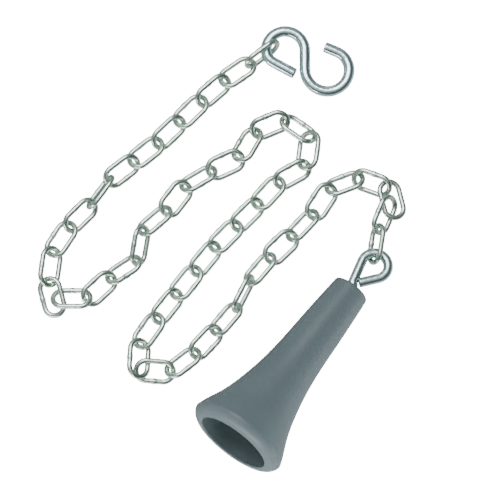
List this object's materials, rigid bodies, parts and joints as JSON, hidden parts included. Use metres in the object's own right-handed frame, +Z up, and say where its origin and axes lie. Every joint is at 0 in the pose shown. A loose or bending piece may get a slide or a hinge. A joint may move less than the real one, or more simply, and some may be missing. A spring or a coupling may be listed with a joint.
{
  "type": "chain pull",
  "caption": "Chain pull for a high-level lever: open S-hook, welded oval-link chain, bent-wire eye bolt and a hollow bell-mouthed handle.",
  "frame": {"origin": "on the surface that the pull lies on, under the middle of the laid-out chain and handle", "axes": "+Z up from that surface; +Y from the handle's mouth end towards the S-hook; +X to the right seen from above with +Y away"},
  "size_m": [0.2002, 0.2492, 0.0554],
  "materials": {
    "zinc_rod": "bright zinc-plated rod",
    "zinc_chain": "zinc-plated welded chain, slightly greenish",
    "grey_plastic": "satin moulded slate grey"
  },
  "bodies": {
    "hook": {"s_hook": "zinc_rod"},
    "link_01": {"chain_link_01": "zinc_chain"},
    "link_02": {"chain_link_02": "zinc_chain"},
    "link_03": {"chain_link_03": "zinc_chain"},
    "link_04": {"chain_link_04": "zinc_chain"},
    "link_05": {"chain_link_05": "zinc_chain"},
    "link_06": {"chain_link_06": "zinc_chain"},
    "link_07": {"chain_link_07": "zinc_chain"},
    "link_08": {"chain_link_08": "zinc_chain"},
    "link_09": {"chain_link_09": "zinc_chain"},
    "link_10": {"chain_link_10": "zinc_chain"},
    "link_11": {"chain_link_11": "zinc_chain"},
    "link_12": {"chain_link_12": "zinc_chain"},
    "link_13": {"chain_link_13": "zinc_chain"},
    "link_14": {"chain_link_14": "zinc_chain"},
    "link_15": {"chain_link_15": "zinc_chain"},
    "link_16": {"chain_link_16": "zinc_chain"},
    "link_17": {"chain_link_17": "zinc_chain"},
    "link_18": {"chain_link_18": "zinc_chain"},
    "link_19": {"chain_link_19": "zinc_chain"},
    "link_20": {"chain_link_20": "zinc_chain"},
    "link_21": {"chain_link_21": "zinc_chain"},
    "link_22": {"chain_link_22": "zinc_chain"},
    "link_23": {"chain_link_23": "zinc_chain"},
    "link_24": {"chain_link_24": "zinc_chain"},
    "link_25": {"chain_link_25": "zinc_chain"},
    "link_26": {"chain_link_26": "zinc_chain"},
    "link_27": {"chain_link_27": "zinc_chain"},
    "link_28": {"chain_link_28": "zinc_chain"},
    "link_29": {"chain_link_29": "zinc_chain"},
    "link_30": {"chain_link_30": "zinc_chain"},
    "link_31": {"chain_link_31": "zinc_chain"},
    "link_32": {"chain_link_32": "zinc_chain"},
    "link_33": {"chain_link_33": "zinc_chain"},
    "link_34": {"chain_link_34": "zinc_chain"},
    "link_35": {"chain_link_35": "zinc_chain"},
    "link_36": {"chain_link_36": "zinc_chain"},
    "link_37": {"chain_link_37": "zinc_chain"},
    "link_38": {"chain_link_38": "zinc_chain"},
    "link_39": {"chain_link_39": "zinc_chain"},
    "link_40": {"chain_link_40": "zinc_chain"},
    "link_41": {"chain_link_41": "zinc_chain"},
    "link_42": {"chain_link_42": "zinc_chain"},
    "link_43": {"chain_link_43": "zinc_chain"},
    "link_44": {"chain_link_44": "zinc_chain"},
    "link_45": {"chain_link_45": "zinc_chain"},
    "link_46": {"chain_link_46": "zinc_chain"},
    "link_47": {"chain_link_47": "zinc_chain"},
    "eye": {"eye_bolt": "zinc_rod", "washer": "zinc_rod", "lock_nut": "zinc_rod"},
    "handle": {"pull_handle": "grey_plastic"}
  },
  "joints": [
    {"name": "hook_to_link_01", "type": "hinge", "parent": "hook", "child": "link_01", "pos_m": [0.02402, 0.11007, 0.00648], "axis": [-0.085, 0.9964, 0.0065], "range_deg": [-30, 20]},
    {"name": "link_01_to_02", "type": "hinge", "parent": "link_01", "child": "link_02", "pos_m": [0.01686, 0.1044, 0.00566], "axis": [0.4045, -0.8131, 0.4187], "range_deg": [-75, 75]},
    {"name": "link_02_to_03", "type": "hinge", "parent": "link_02", "child": "link_03", "pos_m": [-0.00005, 0.09306, 0.00547], "axis": [0.5394, -0.7284, 0.4225], "range_deg": [-75, 75]},
    {"name": "link_03_to_04", "type": "hinge", "parent": "link_03", "child": "link_04", "pos_m": [-0.01241, 0.08178, 0.00511], "axis": [-0.5055, 0.5449, 0.6689], "range_deg": [-75, 75]},
    {"name": "link_04_to_05", "type": "hinge", "parent": "link_04", "child": "link_05", "pos_m": [-0.02418, 0.06992, 0.00514], "axis": [-0.6628, 0.6288, -0.4066], "range_deg": [-75, 75]},
    {"name": "link_05_to_06", "type": "hinge", "parent": "link_05", "child": "link_06", "pos_m": [-0.03623, 0.05837, 0.0052], "axis": [0.5334, -0.5177, -0.6689], "range_deg": [-75, 75]},
    {"name": "link_06_to_07", "type": "hinge", "parent": "link_06", "child": "link_07", "pos_m": [-0.0462, 0.0499, 0.00533], "axis": [0.3609, -0.6813, -0.6369], "range_deg": [-35, 75]},
    {"name": "link_07_to_08", "type": "hinge", "parent": "link_07", "child": "link_08", "pos_m": [-0.06249, 0.03768, 0.00567], "axis": [-0.4904, 0.5887, 0.6426], "range_deg": [-75, 75]},
    {"name": "link_08_to_09", "type": "hinge", "parent": "link_08", "child": "link_09", "pos_m": [-0.07232, 0.02428, 0.00545], "axis": [-0.0939, 0.4275, -0.8991], "range_deg": [-75, 75]},
    {"name": "link_09_to_10", "type": "hinge", "parent": "link_09", "child": "link_10", "pos_m": [-0.08361, 0.01182, 0.00471], "axis": [0.6457, -0.3876, -0.6579], "range_deg": [-75, 75]},
    {"name": "link_10_to_11", "type": "hinge", "parent": "link_10", "child": "link_11", "pos_m": [-0.09156, -0.00266, 0.00528], "axis": [-0.568, 0.0798, -0.8192], "range_deg": [-75, 75]},
    {"name": "link_11_to_12", "type": "hinge", "parent": "link_11", "child": "link_12", "pos_m": [-0.09355, -0.01552, 0.00541], "axis": [0.568, -0.0798, 0.8192], "range_deg": [-10, 30]},
    {"name": "link_12_to_13", "type": "hinge", "parent": "link_12", "child": "link_13", "pos_m": [-0.08629, -0.02686, 0.00577], "axis": [0.2578, -0.9623, -0.0872], "range_deg": [-75, 25]},
    {"name": "link_13_to_14", "type": "hinge", "parent": "link_13", "child": "link_14", "pos_m": [-0.07183, -0.02462, 0.00559], "axis": [-0.341, 0.3657, -0.866], "range_deg": [-35, 50]},
    {"name": "link_14_to_15", "type": "hinge", "parent": "link_14", "child": "link_15", "pos_m": [-0.05898, -0.01409, 0.00498], "axis": [-0.608, 0.6168, 0.4999], "range_deg": [-75, 75]},
    {"name": "link_15_to_16", "type": "hinge", "parent": "link_15", "child": "link_16", "pos_m": [-0.04604, -0.00401, 0.00641], "axis": [0.675, -0.3699, 0.6384], "range_deg": [-75, 75]},
    {"name": "link_16_to_17", "type": "hinge", "parent": "link_16", "child": "link_17", "pos_m": [-0.04101, 0.01151, 0.00599], "axis": [0.3834, -0.5256, -0.7594], "range_deg": [-75, 75]},
    {"name": "link_17_to_18", "type": "hinge", "parent": "link_17", "child": "link_18", "pos_m": [-0.03127, 0.02056, 0.0056], "axis": [-0.7381, 0.5261, 0.4225], "range_deg": [-75, 75]},
    {"name": "link_18_to_19", "type": "hinge", "parent": "link_18", "child": "link_19", "pos_m": [-0.01847, 0.03637, 0.00527], "axis": [-0.6359, 0.6483, 0.4187], "range_deg": [-75, 75]},
    {"name": "link_19_to_20", "type": "hinge", "parent": "link_19", "child": "link_20", "pos_m": [-0.00397, 0.04472, 0.00554], "axis": [0.2635, -0.7007, 0.663], "range_deg": [-75, 75]},
    {"name": "link_20_to_21", "type": "hinge", "parent": "link_20", "child": "link_21", "pos_m": [0.0103, 0.0531, 0.00627], "axis": [-0.3644, 0.3739, 0.8529], "range_deg": [-35, 30]},
    {"name": "link_21_to_22", "type": "hinge", "parent": "link_21", "child": "link_22", "pos_m": [0.01739, 0.06462, 0.00424], "axis": [-0.6732, 0.5679, 0.4736], "range_deg": [-75, 30]},
    {"name": "link_22_to_23", "type": "hinge", "parent": "link_22", "child": "link_23", "pos_m": [0.03251, 0.07086, 0.00741], "axis": [-0.0094, 0.8262, -0.5633], "range_deg": [-75, 75]},
    {"name": "link_23_to_24", "type": "hinge", "parent": "link_23", "child": "link_24", "pos_m": [0.04867, 0.06052, 0.00674], "axis": [-0.4871, 0.1359, 0.8627], "range_deg": [-15, 30]},
    {"name": "link_24_to_25", "type": "hinge", "parent": "link_24", "child": "link_25", "pos_m": [0.04567, 0.04852, 0.00693], "axis": [-0.737, 0.3362, 0.5864], "range_deg": [-75, 75]},
    {"name": "link_25_to_26", "type": "hinge", "parent": "link_25", "child": "link_26", "pos_m": [0.02944, 0.03704, 0.00497], "axis": [0.3812, -0.6381, -0.6689], "range_deg": [-70, 75]},
    {"name": "link_26_to_27", "type": "hinge", "parent": "link_26", "child": "link_27", "pos_m": [0.01843, 0.02432, 0.00512], "axis": [0.6948, -0.5933, 0.4066], "range_deg": [-75, 75]},
    {"name": "link_27_to_28", "type": "hinge", "parent": "link_27", "child": "link_28", "pos_m": [0.0066, 0.01252, 0.00514], "axis": [-0.5423, 0.5083, 0.6689], "range_deg": [-75, 75]},
    {"name": "link_28_to_29", "type": "hinge", "parent": "link_28", "child": "link_29", "pos_m": [-0.0049, 0.00042, 0.0052], "axis": [-0.6736, 0.6171, -0.4066], "range_deg": [-75, 75]},
    {"name": "link_29_to_30", "type": "hinge", "parent": "link_29", "child": "link_30", "pos_m": [-0.01536, -0.0126, 0.00514], "axis": [0.5925, -0.4489, -0.6689], "range_deg": [-75, 75]},
    {"name": "link_30_to_31", "type": "hinge", "parent": "link_30", "child": "link_31", "pos_m": [-0.02563, -0.02577, 0.00515], "axis": [0.7345, -0.5433, 0.4066], "range_deg": [-75, 75]},
    {"name": "link_31_to_32", "type": "hinge", "parent": "link_31", "child": "link_32", "pos_m": [-0.0362, -0.03867, 0.0055], "axis": [-0.4971, 0.5598, 0.663], "range_deg": [-75, 75]},
    {"name": "link_32_to_33", "type": "hinge", "parent": "link_32", "child": "link_33", "pos_m": [-0.04321, -0.04988, 0.00466], "axis": [-0.8102, 0.3742, 0.4513], "range_deg": [-20, 10]},
    {"name": "link_33_to_34", "type": "hinge", "parent": "link_33", "child": "link_34", "pos_m": [-0.04515, -0.06284, 0.00653], "axis": [-0.5033, -0.0492, -0.8627], "range_deg": [0, 75]},
    {"name": "link_34_to_35", "type": "hinge", "parent": "link_34", "child": "link_35", "pos_m": [-0.02662, -0.06486, 0.00456], "axis": [-0.391, 0.8236, 0.4109], "range_deg": [-25, 50]},
    {"name": "link_35_to_36", "type": "hinge", "parent": "link_35", "child": "link_36", "pos_m": [-0.01316, -0.05527, 0.00507], "axis": [0.5231, -0.6305, 0.5734], "range_deg": [-75, 75]},
    {"name": "link_36_to_37", "type": "hinge", "parent": "link_36", "child": "link_37", "pos_m": [-0.00213, -0.04275, 0.00546], "axis": [0.5765, -0.5047, -0.6426], "range_deg": [-40, 75]},
    {"name": "link_37_to_38", "type": "hinge", "parent": "link_37", "child": "link_38", "pos_m": [0.00882, -0.03011, 0.00569], "axis": [-0.6021, 0.4739, -0.6426], "range_deg": [-55, 75]},
    {"name": "link_38_to_39", "type": "hinge", "parent": "link_38", "child": "link_39", "pos_m": [0.01473, -0.01841, 0.00588], "axis": [-0.8606, 0.4385, -0.2588], "range_deg": [-20, 75]},
    {"name": "link_39_to_40", "type": "hinge", "parent": "link_39", "child": "link_40", "pos_m": [0.02721, -0.00237, 0.00521], "axis": [0.5846, -0.4591, 0.6689], "range_deg": [-75, 75]},
    {"name": "link_40_to_41", "type": "hinge", "parent": "link_40", "child": "link_41", "pos_m": [0.03929, 0.0092, 0.00518], "axis": [0.6517, -0.6403, -0.4066], "range_deg": [-75, 75]},
    {"name": "link_41_to_42", "type": "hinge", "parent": "link_41", "child": "link_42", "pos_m": [0.05052, 0.02153, 0.00501], "axis": [-0.5597, 0.4891, -0.6689], "range_deg": [-75, 75]},
    {"name": "link_42_to_43", "type": "hinge", "parent": "link_42", "child": "link_43", "pos_m": [0.05788, 0.03243, 0.00605], "axis": [-0.3114, 0.2964, -0.9029], "range_deg": [-50, 75]},
    {"name": "link_43_to_44", "type": "hinge", "parent": "link_43", "child": "link_44", "pos_m": [0.07639, 0.04011, 0.00567], "axis": [-0.2927, -0.5762, 0.7631], "range_deg": [-10, 75]},
    {"name": "link_44_to_45", "type": "hinge", "parent": "link_44", "child": "link_45", "pos_m": [0.08669, 0.03582, 0.00639], "axis": [-0.2927, -0.5762, 0.7631], "range_deg": [-20, 75]},
    {"name": "link_45_to_46", "type": "hinge", "parent": "link_45", "child": "link_46", "pos_m": [0.08905, 0.02064, 0.00689], "axis": [-0.7103, 0.287, -0.6428], "range_deg": [-75, 40]},
    {"name": "link_46_to_47", "type": "hinge", "parent": "link_46", "child": "link_47", "pos_m": [0.0853, 0.01338, 0.00778], "axis": [0.4856, -0.1291, 0.8646], "range_deg": [-75, 75]},
    {"name": "link_47_to_eye", "type": "hinge", "parent": "link_47", "child": "eye", "pos_m": [0.08271, -0.00154, 0.00607], "axis": [-0.8622, 0.0924, 0.4981], "range_deg": [-15, 75]},
    {"name": "handle_swivel", "type": "hinge", "parent": "eye", "child": "handle", "pos_m": [0.07029, -0.02218, 0.01013], "axis": [0.5823, 0.7957, -0.1668], "continuous": true}
  ]
}
